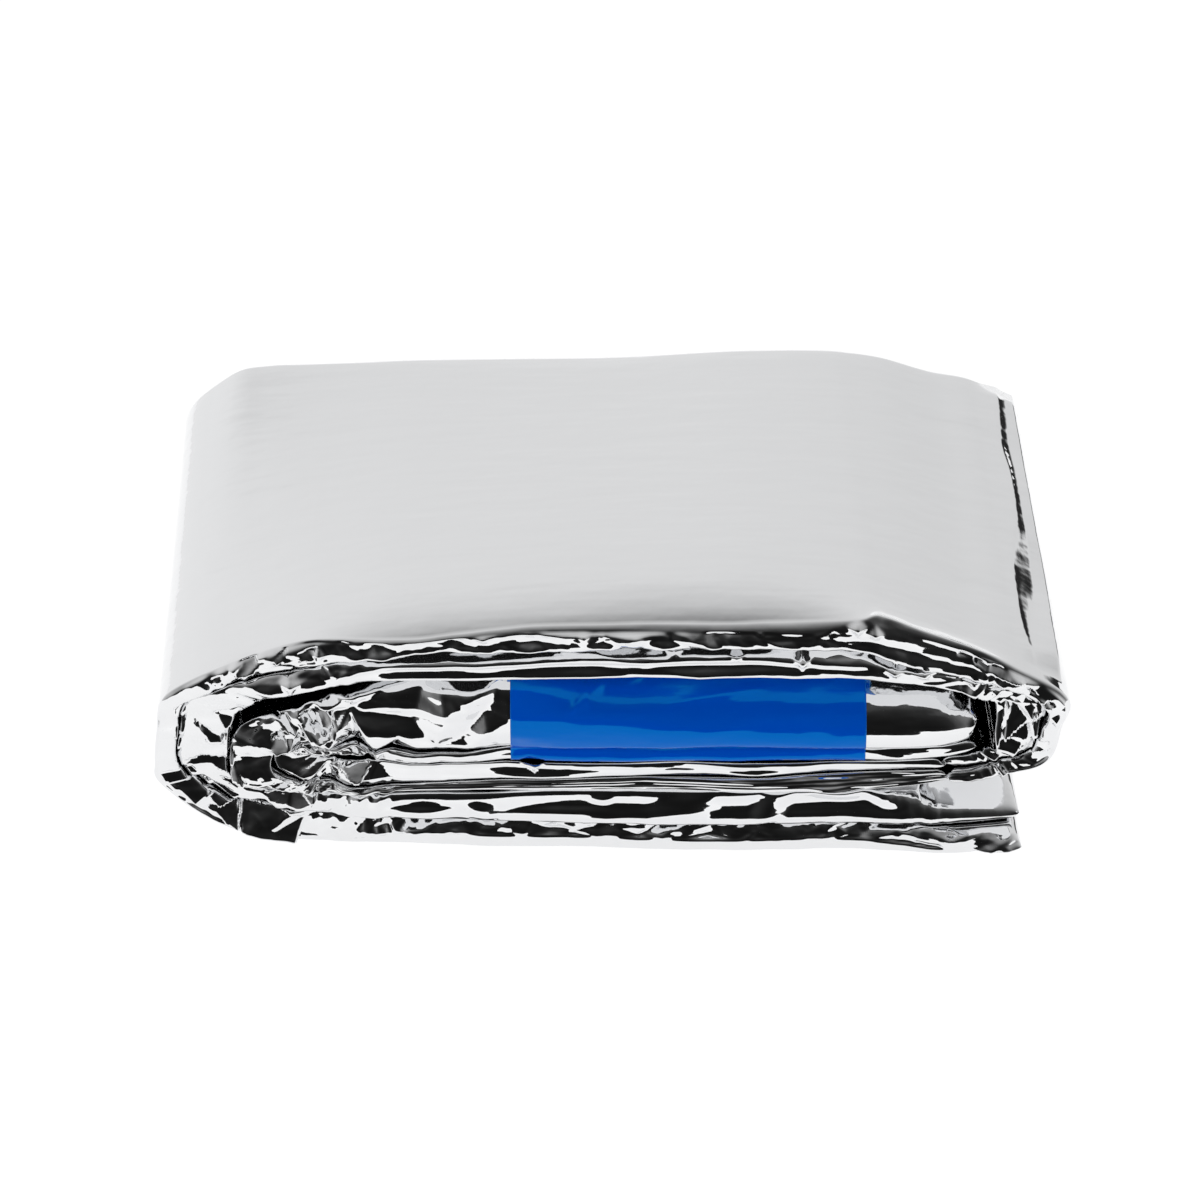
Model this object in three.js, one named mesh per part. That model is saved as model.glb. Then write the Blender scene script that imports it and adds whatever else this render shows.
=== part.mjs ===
// Emergency sleeping bag of silvered film, folded flat for storage, with a blue adhesive strip on its front.
//
// The bag is one long pack of film. Across its width it is folded back and forth into four layers, which show
// at the front as two rolls. Along its length the pack then winds inward: it lies on the surface, turns up at
// the left, crosses the top, turns down at the right, comes back to the left underneath, and turns once more
// into the middle. Seen from the front the pack is described by three lines: its outer face, the
// seam between its two rolls and its inner face.
//
// Millimetres, +Z up, +X to the right, +Y away from the viewer. The origin is the middle of the base.

import * as THREE from "three";

const FRONT_Y = -38.5;
const FOLDED_DEPTH = 77;

// Space left between layers that lie on each other.
const LAYER_GAP = 0.3;
// A fold's nose is as deep as half its height, up to this.
const NOSE_DEPTH_MAX = 3.5;
// The bundle is puffiest at its front folds: this share of its height is lost at the back, at mid length.
const BACK_TAPER = 0.175;
const TAPER_HALF_LENGTH = 62;
// Towards the back it also shifts to the left and loses this share of its length.
const BACK_SHIFT = -1.5;
const BACK_NARROWING = 0.015;
// How far the noses of the folds wander in and out along the pack.
const NOSE_WANDER = 0.35;

const RUN_STEPS = 4;
const NOSE_STEPS = 6;
const STATIONS_PER_PASS_ROW = 1;
const STATIONS_PER_TURN_ROW = 2;

const STRIP_LEFT = -13.9;
const STRIP_WIDTH = 50;
const STRIP_THICKNESS = 1;
const STRIP_STEPS = 8;

// Each row is a section of the pack: x and z of its outer face, seam and inner face, then y of the noses of
// the outer and inner roll and of the back edge.
const COLUMNS = [
  "outerX", "outerZ", "seamX", "seamZ", "innerX", "innerZ", "outerNose", "innerNose", "back",
];

const BOTTOM_PASS = [
  [58.0, 0.0, 58.0, 2.0, 58.0, 4.6, -37.4, -31.0, 36.0],
  [48.0, 0.0, 48.0, 2.3, 48.0, 7.6, -38.8, -36.6, 37.0],
  [36.0, 0.0, 36.0, 2.5, 36.0, 9.2, -39.0, -38.2, 37.2],
  [15.0, 0.0, 15.0, 2.5, 15.0, 9.6, -39.1, -38.6, 37.5],
  [-8.0, 0.0, -8.0, 2.6, -8.0, 9.6, -39.1, -38.6, 37.5],
  [-28.0, 0.0, -28.0, 2.9, -28.0, 9.3, -38.8, -38.2, 37.2],
  [-39.0, 0.0, -38.0, 3.4, -37.5, 8.7, -38.2, -37.6, 37.0],
];
const LEFT_TURN = [
  [-48.5, 0.8, -46.0, 4.8, -45.0, 8.5, -37.6, -36.6, 36.6],
  [-56.5, 3.8, -53.2, 7.0, -52.4, 9.3, -37.4, -36.2, 36.4],
  [-62.4, 9.6, -58.8, 11.2, -55.6, 11.9, -37.3, -36.3, 36.0],
  [-63.6, 14.5, -60.4, 15.2, -56.2, 15.6, -37.4, -36.6, 35.0],
  [-63.0, 20.0, -60.0, 20.0, -55.0, 19.4, -37.6, -36.8, 34.5],
  [-61.8, 25.2, -59.0, 24.1, -53.2, 23.0, -37.6, -37.0, 34.5],
  [-57.8, 28.8, -56.0, 26.7, -51.0, 25.2, -37.5, -37.5, 36.0],
];
const TOP_PASS = [
  [-51.0, 31.9, -50.2, 29.0, -46.8, 26.8, -37.4, -38.2, 37.5],
  [-41.0, 35.0, -40.6, 31.3, -39.0, 28.0, -37.3, -38.7, 38.0],
  [-28.0, 37.8, -28.0, 33.2, -28.0, 28.6, -37.3, -39.0, 38.3],
  [-12.0, 39.6, -12.0, 34.1, -12.0, 28.9, -37.2, -39.2, 38.5],
  [4.0, 40.3, 4.0, 34.5, 4.0, 29.0, -37.2, -39.2, 38.5],
  [18.0, 40.4, 18.0, 34.6, 18.0, 29.1, -37.3, -39.3, 38.5],
  [31.0, 39.1, 31.0, 34.2, 31.0, 29.2, -37.4, -39.2, 38.4],
  [42.0, 36.4, 41.6, 32.6, 41.0, 28.8, -37.5, -38.8, 38.0],
  [51.0, 32.8, 49.8, 29.8, 48.2, 27.4, -37.7, -38.2, 37.5],
];
const RIGHT_TURN = [
  [59.0, 29.4, 57.2, 27.2, 54.0, 25.0, -37.8, -37.6, 37.2],
  [63.9, 25.8, 60.9, 24.2, 55.6, 22.4, -37.8, -37.2, 37.0],
  [64.2, 20.6, 61.0, 19.9, 55.6, 19.2, -37.7, -37.0, 37.0],
  [62.0, 14.8, 59.3, 15.9, 55.2, 16.7, -37.6, -37.0, 37.0],
  [57.0, 12.7, 55.4, 14.3, 53.0, 15.6, -37.8, -36.9, 37.2],
];
const MIDDLE_PASS = [
  [48.0, 11.5, 47.6, 13.3, 47.0, 15.0, -38.2, -37.0, 37.4],
  [32.0, 10.5, 32.0, 12.6, 32.0, 14.4, -38.5, -37.1, 37.5],
  [12.0, 10.2, 12.0, 12.3, 12.0, 14.2, -38.6, -37.2, 37.5],
  [-8.0, 10.2, -8.0, 12.3, -8.0, 14.2, -38.6, -37.2, 37.5],
  [-26.0, 9.9, -26.0, 12.0, -26.0, 14.0, -38.3, -37.0, 37.0],
  [-38.0, 9.4, -37.0, 11.7, -35.5, 13.8, -37.9, -36.6, 36.6],
];
const INNER_TURN = [
  [-46.3, 9.2, -43.0, 11.6, -39.8, 13.8, -37.2, -35.8, 36.0],
  [-51.3, 10.5, -46.8, 12.7, -41.6, 14.0, -36.4, -35.2, 35.5],
  [-51.4, 13.4, -47.0, 14.3, -41.6, 14.6, -36.0, -35.4, 35.5],
  [-48.0, 18.0, -44.4, 15.9, -39.6, 14.8, -35.8, -36.2, 35.8],
  [-42.4, 22.8, -40.0, 16.9, -36.0, 14.8, -36.0, -37.0, 36.2],
];
const INNER_PASS = [
  [-34.5, 26.3, -33.0, 17.2, -30.5, 14.8, -36.6, -37.3, 36.8],
  [-22.0, 27.7, -21.5, 16.8, -20.0, 14.8, -37.0, -37.4, 37.2],
  [-4.0, 28.1, -4.0, 16.6, -4.0, 14.8, -37.1, -37.5, 37.4],
  [12.0, 28.2, 12.0, 16.6, 12.0, 14.8, -37.2, -37.5, 37.4],
  [27.0, 28.3, 27.0, 16.6, 27.0, 14.9, -37.2, -37.5, 37.4],
  [39.0, 27.8, 39.0, 16.7, 39.0, 15.1, -37.0, -37.4, 37.2],
  [47.0, 26.4, 47.0, 17.0, 47.0, 15.5, -36.6, -37.2, 37.0],
  [51.8, 24.4, 51.8, 17.6, 51.8, 16.2, -36.0, -36.6, 36.6],
];

// The strip is stuck down the noses of the inner pass and tucks into the crease between them.
const STRIP_LINE = [
  { z: 27.4, backY: -36.1 },
  { z: 26.2, backY: -37.1 },
  { z: 24.6, backY: -37.7 },
  { z: 22.4, backY: -38.0 },
  { z: 20.2, backY: -37.8 },
  { z: 18.6, backY: -37.3 },
  { z: 17.5, backY: -36.9 },
  { z: 16.8, backY: -37.5 },
  { z: 15.8, backY: -38.2 },
  { z: 15.0, backY: -38.2 },
];

const filmMaterial = new THREE.MeshStandardMaterial({ color: 0xdcdde0, roughness: 0.12, metalness: 1 });
const stripMaterial = new THREE.MeshStandardMaterial({ color: 0x0a4db4, roughness: 0.25, metalness: 0 });

/** A curve's value between rows b and c, with a and d beyond them. */
function catmullRom(a, b, c, d, share) {
  const square = share * share;
  const cube = square * share;
  return 0.5 * (
    2 * b + (c - a) * share + (2 * a - 5 * b + 4 * c - d) * square + (3 * b - a - 3 * c + d) * cube
  );
}

/** The pack's sections in order, with extra ones between the rows of each turn. */
function packStations() {
  const passes = [BOTTOM_PASS, TOP_PASS, MIDDLE_PASS, INNER_PASS];
  const turns = [LEFT_TURN, RIGHT_TURN, INNER_TURN];
  const rows = [];
  passes.forEach((pass, i) => {
    pass.forEach((row) => rows.push({ row, steps: STATIONS_PER_PASS_ROW }));
    (turns[i] ?? []).forEach((row) => rows.push({ row, steps: STATIONS_PER_TURN_ROW }));
  });
  const rowAt = (i) => rows[Math.min(Math.max(i, 0), rows.length - 1)].row;
  const stations = [];
  for (let i = 0; i < rows.length; i += 1) {
    const steps = i === rows.length - 1 ? 1 : rows[i].steps;
    for (let step = 0; step < steps; step += 1) {
      const values = COLUMNS.map((_, c) =>
        catmullRom(rowAt(i - 1)[c], rowAt(i)[c], rowAt(i + 1)[c], rowAt(i + 2)[c], step / steps));
      stations.push(Object.fromEntries(COLUMNS.map((name, c) => [name, values[c]])));
    }
  }
  return stations;
}

/** Points from one depth to another at a level, both ends included. */
function run(fromY, toY, level) {
  return Array.from({ length: RUN_STEPS + 1 }, (_, i) => [fromY + ((toY - fromY) * i) / RUN_STEPS, level]);
}

/** The points between the ends of a half-ellipse nose that swings from one level to another. */
function nose(baseY, reach, fromLevel, toLevel) {
  const middle = (fromLevel + toLevel) / 2;
  const half = (fromLevel - toLevel) / 2;
  return Array.from({ length: NOSE_STEPS - 1 }, (_, i) => {
    const angle = (Math.PI * (i + 1)) / NOSE_STEPS;
    return [baseY + reach * Math.sin(angle), middle + half * Math.cos(angle)];
  });
}

/**
 * The outline of the four layers at a section, as [y, level] pairs. A level is the distance from the seam:
 * above 0 towards the outer face and below 0 towards the inner one.
 */
function foldedOutline(outerThick, innerThick, outerNose, innerNose, back) {
  const half = LAYER_GAP / 2;
  const outerMiddle = (outerThick + half) / 2;
  const innerMiddle = (innerThick + half) / 2;
  const outerLayer = outerMiddle - LAYER_GAP;
  const innerLayer = innerMiddle - LAYER_GAP;
  const outerReach = Math.min((outerThick - half) / 2, NOSE_DEPTH_MAX);
  const innerReach = Math.min((innerThick - half) / 2, NOSE_DEPTH_MAX);
  const backReach = Math.min((outerLayer + innerLayer) / 2, NOSE_DEPTH_MAX);
  const outerBase = outerNose + outerReach;
  const innerBase = innerNose + innerReach;
  const foldBase = back - backReach;
  const edgeBulge = 0.3;
  return [
    ...run(back, outerBase, outerThick),
    ...nose(outerBase, -outerReach, outerThick, half),
    ...run(outerBase, foldBase, half),
    [foldBase + half, 0],
    ...run(foldBase, innerBase, -half),
    ...nose(innerBase, -innerReach, -half, -innerThick),
    ...run(innerBase, back, -innerThick),
    [back + edgeBulge, -(innerThick + innerMiddle + half) / 2],
    ...run(back, innerNose + innerLayer + half, -(innerMiddle + half)),
    [innerNose + innerLayer, -innerMiddle],
    ...run(innerNose + innerLayer + half, foldBase, -(innerMiddle - half)),
    ...nose(foldBase, backReach, -(innerMiddle - half), outerMiddle - half),
    ...run(foldBase, outerNose + outerLayer + half, outerMiddle - half),
    [outerNose + outerLayer, outerMiddle],
    ...run(outerNose + outerLayer + half, back, outerMiddle + half),
    [back + edgeBulge, (outerThick + outerMiddle + half) / 2],
  ];
}

/** Lowers, narrows and shifts the bundle towards the back, and leaves its base flat. */
function settle(x, y, z) {
  const across = Math.max(0, 1 - (x / TAPER_HALF_LENGTH) ** 2);
  const towardsBack = (y - FRONT_Y) / FOLDED_DEPTH;
  return new THREE.Vector3(
    x * (1 - BACK_NARROWING * towardsBack) + BACK_SHIFT * towardsBack,
    y,
    Math.max(0, z * (1 - BACK_TAPER * across * towardsBack)),
  );
}

/** One section of the pack as points in space. */
function sectionPoints(station, index) {
  const outward = new THREE.Vector2(station.outerX - station.seamX, station.outerZ - station.seamZ);
  const inward = new THREE.Vector2(station.innerX - station.seamX, station.innerZ - station.seamZ);
  const outline = foldedOutline(
    outward.length(),
    inward.length(),
    station.outerNose + NOSE_WANDER * Math.sin(1.7 * index),
    station.innerNose + NOSE_WANDER * Math.sin(2.3 * index + 1),
    station.back,
  );
  outward.normalize();
  inward.normalize();
  const points = outline.map(([y, level]) => {
    const way = level >= 0 ? outward : inward;
    const distance = Math.abs(level);
    return settle(station.seamX + way.x * distance, y, station.seamZ + way.y * distance);
  });
  return { points, flat: outline.map(([y, level]) => new THREE.Vector2(y, level)) };
}

/** A closed mesh through equal rings of points, with a cap on each end. */
function loft(rings, flatFirst, flatLast) {
  const count = rings[0].length;
  const positions = rings.flat().flatMap((p) => [p.x, p.y, p.z]);
  const index = [];
  for (let r = 0; r + 1 < rings.length; r += 1) {
    for (let i = 0; i < count; i += 1) {
      const next = (i + 1) % count;
      const [a, b] = [r * count + i, r * count + next];
      index.push(a, b, b + count, a, b + count, a + count);
    }
  }
  const last = (rings.length - 1) * count;
  const faces = THREE.ShapeUtils.triangulateShape;
  faces(flatFirst, []).forEach(([a, b, c]) => index.push(a, c, b));
  faces(flatLast, []).forEach(([a, b, c]) => index.push(last + a, last + b, last + c));
  const geometry = new THREE.BufferGeometry();
  geometry.setAttribute("position", new THREE.Float32BufferAttribute(positions, 3));
  geometry.setIndex(index);
  return faceOutward(geometry);
}

/** Turns the faces round if the mesh is inside out. */
function faceOutward(geometry) {
  const at = geometry.getAttribute("position");
  const index = Array.from(geometry.getIndex().array);
  const [a, b, c] = [new THREE.Vector3(), new THREE.Vector3(), new THREE.Vector3()];
  let volume = 0;
  for (let i = 0; i < index.length; i += 3) {
    a.fromBufferAttribute(at, index[i]);
    b.fromBufferAttribute(at, index[i + 1]);
    c.fromBufferAttribute(at, index[i + 2]);
    volume += a.dot(b.cross(c));
  }
  if (volume < 0) {
    for (let i = 0; i < index.length; i += 3) {
      [index[i + 1], index[i + 2]] = [index[i + 2], index[i + 1]];
    }
    geometry.setIndex(index);
  }
  geometry.computeVertexNormals();
  return geometry;
}

function foldedBag() {
  const sections = packStations().map(sectionPoints);
  const rings = sections.map((section) => section.points);
  const geometry = loft(rings, sections[0].flat, sections[sections.length - 1].flat);
  const mesh = new THREE.Mesh(geometry, filmMaterial);
  mesh.name = "folded_bag";
  return mesh;
}

function adhesiveStrip() {
  const frontLine = STRIP_LINE.map(({ z, backY }) => new THREE.Vector2(backY - STRIP_THICKNESS, z));
  const backLine = STRIP_LINE.map(({ z, backY }) => new THREE.Vector2(backY, z)).reverse();
  const outline = [...frontLine, ...backLine];
  const rings = Array.from({ length: STRIP_STEPS + 1 }, (_, i) => {
    const x = STRIP_LEFT + (STRIP_WIDTH * i) / STRIP_STEPS;
    return outline.map((p) => settle(x, p.x, p.y));
  });
  const mesh = new THREE.Mesh(loft(rings, outline, outline), stripMaterial);
  mesh.name = "adhesive_strip";
  return mesh;
}

/** Puts the origin at the middle of the base. */
function centreOnBase(group) {
  const box = new THREE.Box3().setFromObject(group);
  const middle = box.getCenter(new THREE.Vector3());
  group.children.forEach((mesh) => mesh.geometry.translate(-middle.x, -middle.y, -box.min.z));
}

const bundle = new THREE.Group();
bundle.name = "emergency_sleeping_bag";
bundle.add(foldedBag(), adhesiveStrip());
centreOnBase(bundle);

export default bundle;
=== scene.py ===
"""Emergency sleeping bag of silvered film, folded and wound into a flat pack, with a blue adhesive strip.

The bag is one long pack of film with two rolls at its front edge, an outer and an inner one. It lies on the
table, turns up at the left, crosses the top, turns down at the right, comes back underneath and turns once
more into the middle. Lengths are millimetres until a mesh is made.
"""

import math

import bpy
import numpy as np
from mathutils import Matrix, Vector
from mathutils.geometry import delaunay_2d_cdt


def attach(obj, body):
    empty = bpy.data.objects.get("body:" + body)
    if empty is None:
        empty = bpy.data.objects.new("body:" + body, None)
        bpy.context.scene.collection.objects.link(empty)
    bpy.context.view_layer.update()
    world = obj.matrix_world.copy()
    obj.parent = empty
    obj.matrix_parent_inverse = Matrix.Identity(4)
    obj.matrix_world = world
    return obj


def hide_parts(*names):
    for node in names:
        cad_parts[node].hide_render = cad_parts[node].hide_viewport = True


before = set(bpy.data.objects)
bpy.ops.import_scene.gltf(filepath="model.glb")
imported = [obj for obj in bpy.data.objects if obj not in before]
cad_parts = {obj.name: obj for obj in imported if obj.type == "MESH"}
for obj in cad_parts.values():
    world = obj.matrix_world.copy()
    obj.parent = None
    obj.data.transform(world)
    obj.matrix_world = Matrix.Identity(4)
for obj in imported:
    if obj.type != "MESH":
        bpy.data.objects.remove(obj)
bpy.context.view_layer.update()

MM = 0.001

# The camera.
CAMERA_ELEVATION = math.radians(36)
CAMERA_DISTANCE = 787
CAMERA_TARGET = (-1.3, 0.0, 15.7)
PHOTO_PIXELS = 1200
FOCAL_PIXELS = 5367
SENSOR_MM = 36.0
NEAREST_SEEN = 0.01


def add_camera():
    """A camera in front of the pack that looks down at it."""
    camera = bpy.data.objects.new("camera", bpy.data.cameras.new("camera"))
    bpy.context.scene.collection.objects.link(camera)
    camera.data.sensor_width = SENSOR_MM
    camera.data.lens = FOCAL_PIXELS / PHOTO_PIXELS * SENSOR_MM
    camera.data.clip_start = NEAREST_SEEN
    away = Vector((0, -math.cos(CAMERA_ELEVATION), math.sin(CAMERA_ELEVATION)))
    camera.location = (Vector(CAMERA_TARGET) + away * CAMERA_DISTANCE) * MM
    camera.rotation_euler = (math.pi / 2 - CAMERA_ELEVATION, 0, 0)
    bpy.context.scene.camera = camera


add_camera()

# The wound pack. It is lower, narrower and shifted a little towards its back.
FRONT_Y = -38.5
FOLDED_DEPTH = 77.0
BACK_TAPER = 0.175
TAPER_HALF_LENGTH = 62.0
BACK_SHIFT = -1.7
BACK_NARROWING = 0.02

# A row is a section of the pack: x and z of its outer face, seam and inner face, then y of the noses of the
# outer and inner roll and of the back edge.
SECTIONS = {
    "bottom_end": [
        (58.6, 0.0, 58.6, 2.6, 58.6, 5.0, -38.2, -35.4, 36.0),
        (48.0, 0.0, 48.0, 3.4, 48.0, 7.8, -39.9, -37.8, 37.0),
    ],
    "bottom_east": [
        (36.0, 0.0, 36.0, 3.8, 36.0, 9.2, -38.9, -38.2, 37.2),
        (15.0, 0.0, 15.0, 4.0, 15.0, 9.6, -38.8, -38.6, 37.5),
        (-6.0, 0.0, -6.0, 4.2, -6.0, 9.6, -38.5, -38.5, 37.5),
    ],
    "bottom_west": [
        (-18.0, 0.0, -18.0, 4.4, -18.0, 9.5, -37.9, -38.2, 37.4),
        (-28.0, 0.0, -28.0, 4.5, -28.0, 9.3, -37.2, -37.9, 37.2),
    ],
    "left_turn": [
        (-39.0, 0.0, -38.0, 4.8, -37.5, 8.9, -37.0, -37.5, 37.0),
        (-48.5, 0.9, -46.0, 5.6, -45.0, 8.9, -37.6, -36.6, 36.6),
        (-56.2, 3.8, -53.2, 7.2, -52.0, 9.6, -37.4, -36.2, 36.4),
        (-63.6, 10.5, -59.4, 11.4, -54.0, 12.4, -37.3, -36.3, 36.0),
        (-64.2, 14.5, -61.0, 15.2, -53.8, 16.0, -37.4, -36.6, 35.0),
        (-63.7, 20.0, -60.5, 20.0, -53.4, 19.8, -37.6, -36.8, 34.5),
        (-62.8, 25.2, -59.8, 24.1, -52.0, 22.6, -37.6, -37.0, 34.5),
        (-58.6, 28.6, -56.4, 26.6, -49.6, 24.8, -37.5, -37.5, 36.0),
    ],
    "top_left": [
        (-51.0, 31.9, -50.2, 29.0, -46.8, 26.8, -37.4, -38.2, 37.5),
        (-41.0, 35.0, -40.6, 31.3, -39.0, 28.2, -37.3, -38.0, 38.0),
    ],
    "top_west": [
        (-28.0, 37.9, -28.0, 33.2, -28.0, 29.0, -37.6, -37.8, 38.3),
        (-12.0, 39.7, -12.0, 34.1, -12.0, 29.4, -37.8, -37.9, 38.5),
    ],
    "top_middle": [
        (4.0, 40.4, 4.0, 34.5, 4.0, 29.6, -37.9, -37.9, 38.5),
        (18.0, 40.5, 18.0, 34.6, 18.0, 29.8, -37.9, -38.0, 38.5),
    ],
    "top_east": [
        (28.0, 39.7, 28.0, 34.3, 28.0, 29.8, -37.9, -38.0, 38.4),
    ],
    "top_step": [
        (34.5, 38.7, 34.5, 34.0, 34.3, 29.7, -37.9, -38.1, 38.3),
    ],
    "top_right": [
        (38.0, 37.9, 38.0, 33.5, 37.6, 29.5, -38.0, -38.2, 38.1),
        (43.5, 36.2, 43.0, 32.2, 42.2, 29.0, -38.0, -38.2, 37.9),
        (51.0, 32.8, 49.8, 29.8, 48.2, 27.4, -37.7, -38.2, 37.5),
    ],
    "right_turn": [
        (57.6, 30.7, 56.2, 27.8, 53.6, 25.0, -37.8, -37.6, 37.2),
        (64.4, 25.6, 61.2, 24.2, 54.4, 22.4, -37.8, -37.2, 37.0),
        (63.8, 20.6, 60.6, 19.9, 54.2, 19.2, -37.7, -37.0, 37.0),
        (62.2, 14.8, 59.4, 15.9, 54.4, 16.7, -37.6, -37.0, 37.0),
        (57.0, 12.7, 55.4, 14.3, 53.0, 15.6, -37.8, -36.9, 37.2),
    ],
    "middle": [
        (48.0, 11.5, 47.6, 13.3, 47.0, 15.0, -38.2, -37.0, 37.4),
        (32.0, 10.5, 32.0, 12.6, 32.0, 14.4, -38.5, -37.1, 37.5),
        (12.0, 10.2, 12.0, 12.0, 12.0, 14.2, -38.6, -37.2, 37.5),
        (-8.0, 10.2, -8.0, 11.8, -8.0, 14.2, -38.6, -37.2, 37.5),
        (-26.0, 9.9, -26.0, 11.0, -26.0, 14.3, -38.3, -37.0, 37.0),
        (-38.0, 9.4, -37.0, 10.6, -35.5, 14.2, -37.9, -36.6, 36.6),
    ],
    "inner_turn": [
        (-46.3, 9.2, -43.0, 11.0, -39.8, 13.8, -37.2, -35.8, 36.0),
        (-52.6, 10.8, -46.8, 12.5, -41.6, 14.0, -37.0, -35.2, 35.5),
        (-53.5, 14.4, -47.6, 14.4, -41.6, 14.6, -37.0, -35.4, 35.5),
        (-52.4, 18.6, -46.0, 16.0, -39.6, 14.8, -36.2, -36.2, 35.8),
        (-44.6, 21.8, -41.4, 16.8, -36.0, 14.8, -36.2, -37.0, 36.2),
    ],
    "inner_left": [
        (-35.0, 25.4, -33.0, 16.6, -30.5, 14.8, -36.6, -37.3, 36.8),
        (-22.0, 27.7, -21.5, 16.5, -20.0, 14.8, -37.0, -37.4, 37.2),
    ],
    "inner_west": [
        (-4.0, 28.6, -4.0, 17.2, -4.0, 14.8, -38.2, -37.4, 37.4),
    ],
    "inner_middle": [
        (12.0, 28.8, 12.0, 17.3, 12.0, 14.8, -38.4, -37.2, 37.4),
        (27.0, 28.9, 27.0, 17.4, 27.0, 14.9, -38.4, -37.2, 37.4),
    ],
    "inner_right": [
        (39.0, 28.3, 39.0, 17.4, 39.0, 15.1, -38.2, -37.2, 37.2),
        (47.0, 26.8, 47.0, 17.4, 47.0, 15.5, -37.8, -37.3, 37.0),
        (51.8, 24.4, 51.8, 17.6, 51.8, 16.2, -36.0, -36.6, 36.6),
    ],
}
OUTER, SEAM, INNER = slice(0, 2), slice(2, 4), slice(4, 6)
OUTER_NOSE, INNER_NOSE, BACK = 6, 7, 8

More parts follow.
